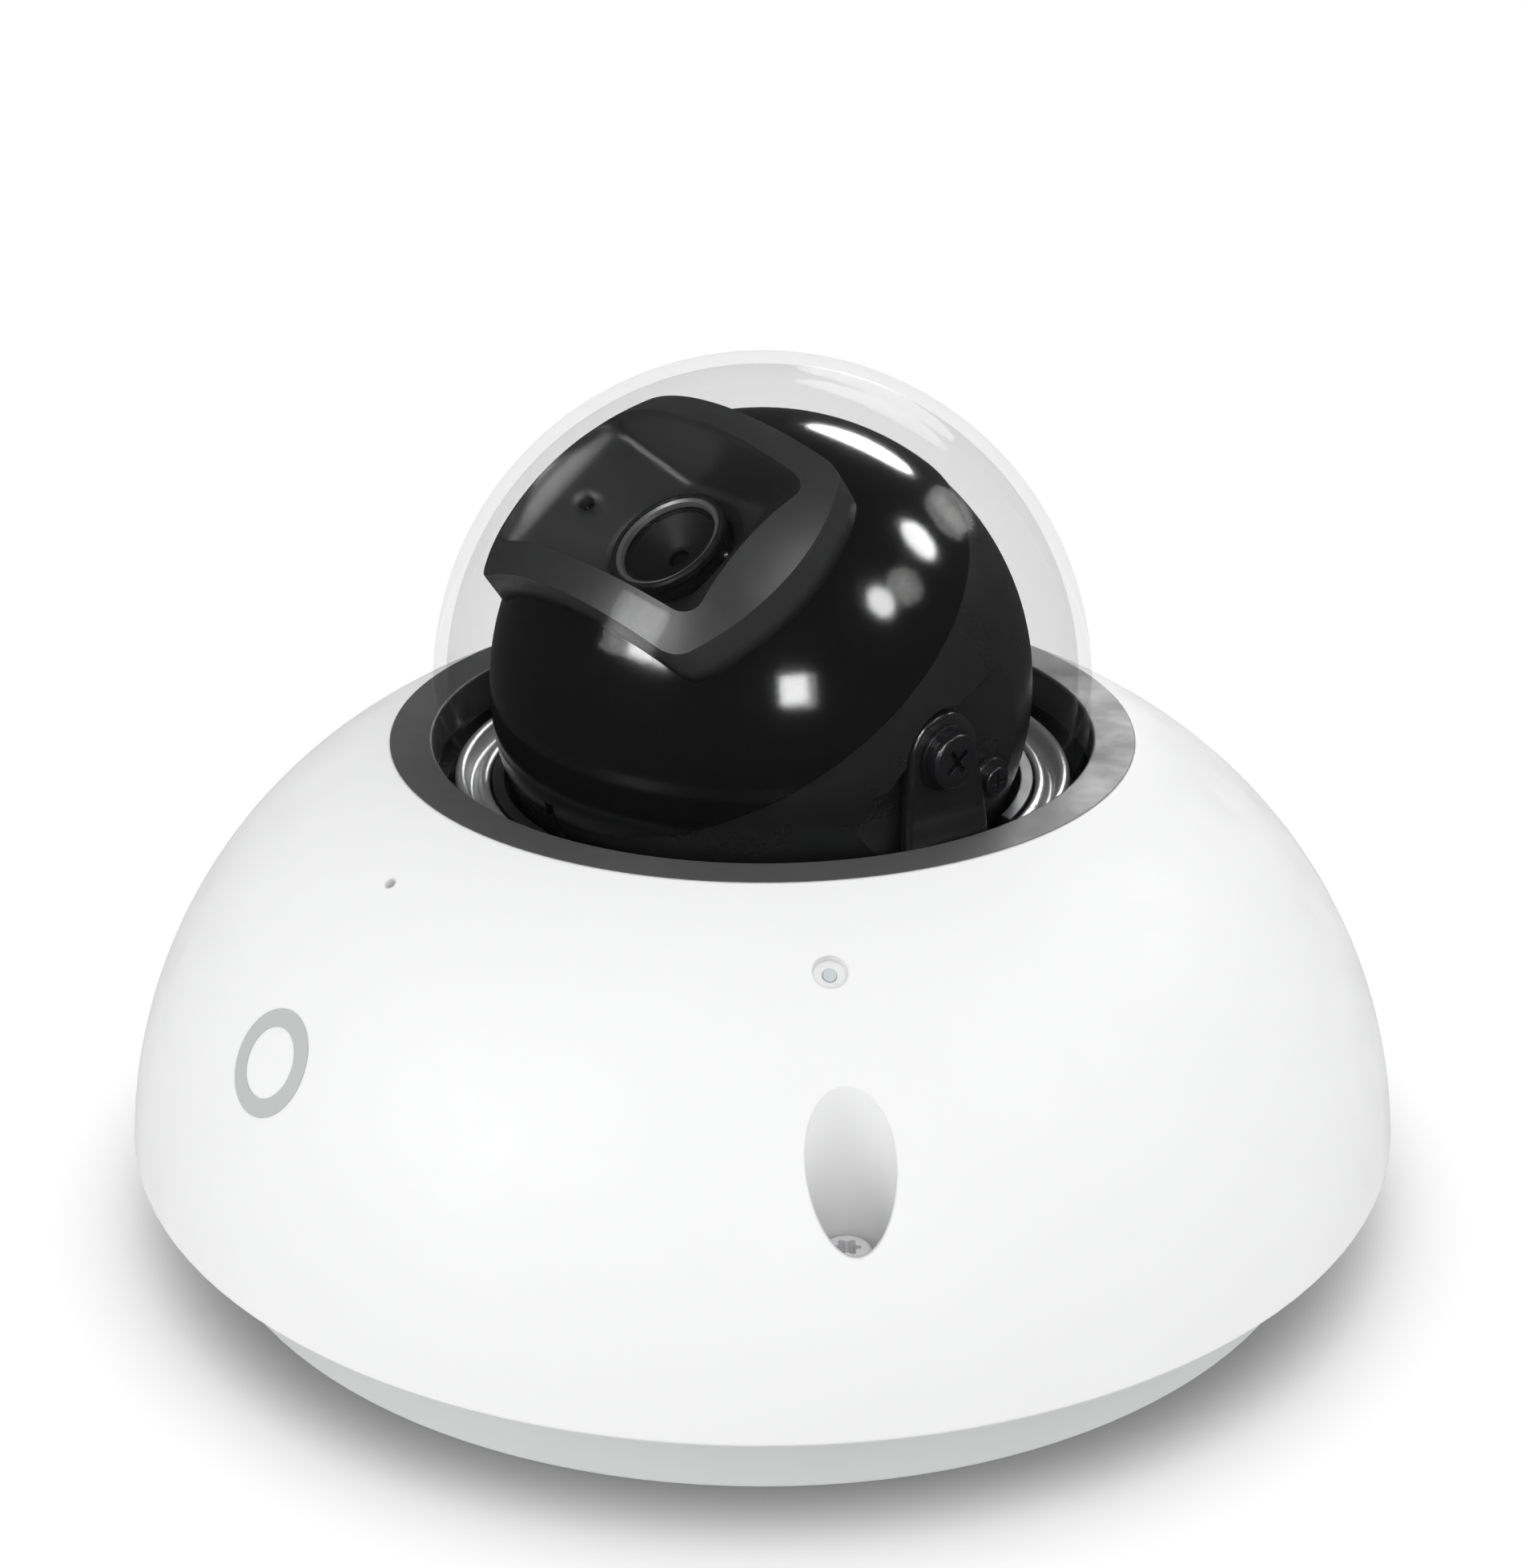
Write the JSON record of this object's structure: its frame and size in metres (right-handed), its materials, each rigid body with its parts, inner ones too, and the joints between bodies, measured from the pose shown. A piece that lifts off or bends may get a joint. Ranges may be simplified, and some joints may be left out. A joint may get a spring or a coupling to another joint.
{
  "type": "security camera",
  "caption": "Dome security camera: a round white cover on a wall base, with a clear dome over a black ball head that pans, tilts and rolls on a yoke.",
  "frame": {"origin": "centre of the base's underside, on the surface that the camera stands on or is fixed to", "axes": "+Z out of the dome, away from the fixing surface; -Y towards the front of the cover, where one of its screws and the light pipe are; +X to the right seen from the front"},
  "size_m": [0.1442, 0.1442, 0.0956],
  "materials": {
    "housing_white": "fine matt, light grey",
    "cover_white": "smooth satin white",
    "mark_grey": "pad-printed pale grey",
    "trim_grey": "satin dark grey",
    "dome_clear": "clear, faintly smoked",
    "seal_rubber": "matt black",
    "gasket_rubber": "matt grey",
    "grommet_rubber": "matt black",
    "board_green": "solder resist over glass fibre",
    "chip_black": "moulded black",
    "sink_aluminium": "extruded, plain",
    "jack_steel": "tinned steel shield",
    "terminal_green": "moulded green",
    "screw_steel": "zinc plated",
    "screw_black": "black oxide",
    "screw_white": "white coated steel",
    "insert_brass": "knurled brass",
    "standoff_brass": "turned brass",
    "slot_steel": "stamped steel",
    "card_black": "moulded black",
    "switch_black": "moulded black",
    "button_red": "moulded red",
    "socket_white": "moulded natural nylon",
    "chassis_steel": "zinc-plated sheet",
    "washer_acetal": "natural acetal",
    "liner_metal": "satin metallic grey",
    "clamp_black": "moulded dark grey",
    "pipe_clear": "clear light guide",
    "mic_metal": "small can",
    "table_black": "glass-filled, satin black",
    "retainer_black": "acetal",
    "arm_black": "glass-filled, satin black",
    "shell_black": "satin black",
    "cap_black": "high gloss black",
    "hood_grey": "satin dark grey",
    "sensor_window": "tinted window",
    "holder_black": "moulded black",
    "sensor_glass": "sensor die under glass",
    "clip_steel": "spring steel",
    "lens_black": "black anodised",
    "lens_ring_metal": "satin black ring",
    "lens_glass": "coated lens glass",
    "baffle_black": "blackened baffle",
    "filter_glass": "infrared blocking glass"
  },
  "bodies": {
    "base": {"base_housing": "housing_white", "base_plate": "housing_white", "base_gasket": "gasket_rubber", "cover_inserts": "insert_brass", "chassis_standoffs": "standoff_brass", "cable_grommet": "grommet_rubber", "main_board": "board_green", "board_screws": "screw_steel", "main_chip": "chip_black", "heat_sink": "sink_aluminium", "network_jack": "jack_steel", "power_terminal": "terminal_green", "terminal_screws": "screw_steel", "card_slot": "slot_steel", "reset_switch": "switch_black", "ribbon_socket": "socket_white", "chassis_plate": "chassis_steel", "chassis_screws": "screw_steel", "thrust_washer": "washer_acetal", "inner_liner": "liner_metal", "liner_screws": "screw_black"},
    "card": {"memory_card": "card_black"},
    "button": {"reset_button": "button_red"},
    "cover": {"cover_shell": "cover_white", "cover_mark": "mark_grey", "trim_ring": "trim_grey", "dome": "dome_clear", "dome_seal": "seal_rubber", "dome_clamp_ring": "clamp_black", "clamp_screws": "screw_steel", "cover_screws": "screw_white", "light_pipe": "pipe_clear", "microphone": "mic_metal"},
    "pan": {"pan_turntable": "table_black", "pan_retainer": "retainer_black", "yoke_arm_right": "arm_black", "yoke_arm_left": "arm_black", "yoke_screws": "screw_black", "tilt_lock_screws": "screw_black"},
    "tilt": {"rear_shell": "shell_black", "pivot_screws": "screw_black", "pivot_washers": "screw_black"},
    "roll": {"front_cap": "cap_black", "hood": "hood_grey", "light_sensor": "sensor_window", "lens_holder": "holder_black", "sensor_board": "board_green", "sensor_socket": "socket_white", "image_sensor": "sensor_glass", "sensor_screws": "screw_steel", "roll_clip": "clip_steel"},
    "focus": {"lens_barrel": "lens_black", "focus_pin": "screw_black", "lens_ring": "lens_ring_metal", "front_glass": "lens_glass", "aperture_cone": "baffle_black", "inner_glass": "lens_glass"},
    "filter": {"filter_frame": "clip_steel", "filter_glass": "filter_glass"}
  },
  "joints": [
    {"name": "cover_lift", "type": "slide", "parent": "base", "child": "cover", "axis": [0, 0, 1], "range_m": [0, 0.06]},
    {"name": "pan_turn", "type": "hinge", "parent": "base", "child": "pan", "pos_m": [0, 0, 0.026], "axis": [0, 0, 1], "range_deg": [-175, 175]},
    {"name": "tilt_lift", "type": "hinge", "parent": "pan", "child": "tilt", "pos_m": [0, 0, 0.05944], "axis": [-0.6521, 0.7581, 0], "range_deg": [-30, 34]},
    {"name": "roll_turn", "type": "hinge", "parent": "tilt", "child": "roll", "pos_m": [0, 0, 0.05944], "axis": [-0.4316, -0.3712, 0.8221], "range_deg": [-90, 90]},
    {"name": "focus_turn", "type": "hinge", "parent": "roll", "child": "focus", "pos_m": [0, 0, 0.05944], "axis": [-0.4316, -0.3712, 0.8221], "range_deg": [-90, 90]},
    {"name": "filter_slide", "type": "slide", "parent": "roll", "child": "filter", "axis": [-0.6521, 0.7581, 0], "range_m": [0, 0.0076]},
    {"name": "card_slide", "type": "slide", "parent": "base", "child": "card", "axis": [0, -1, 0], "range_m": [0, 0.014]},
    {"name": "reset_press", "type": "slide", "parent": "base", "child": "button", "axis": [0, 0, -1], "range_m": [0, 0.0005], "stiffness_N_per_m": 2500}
  ]
}
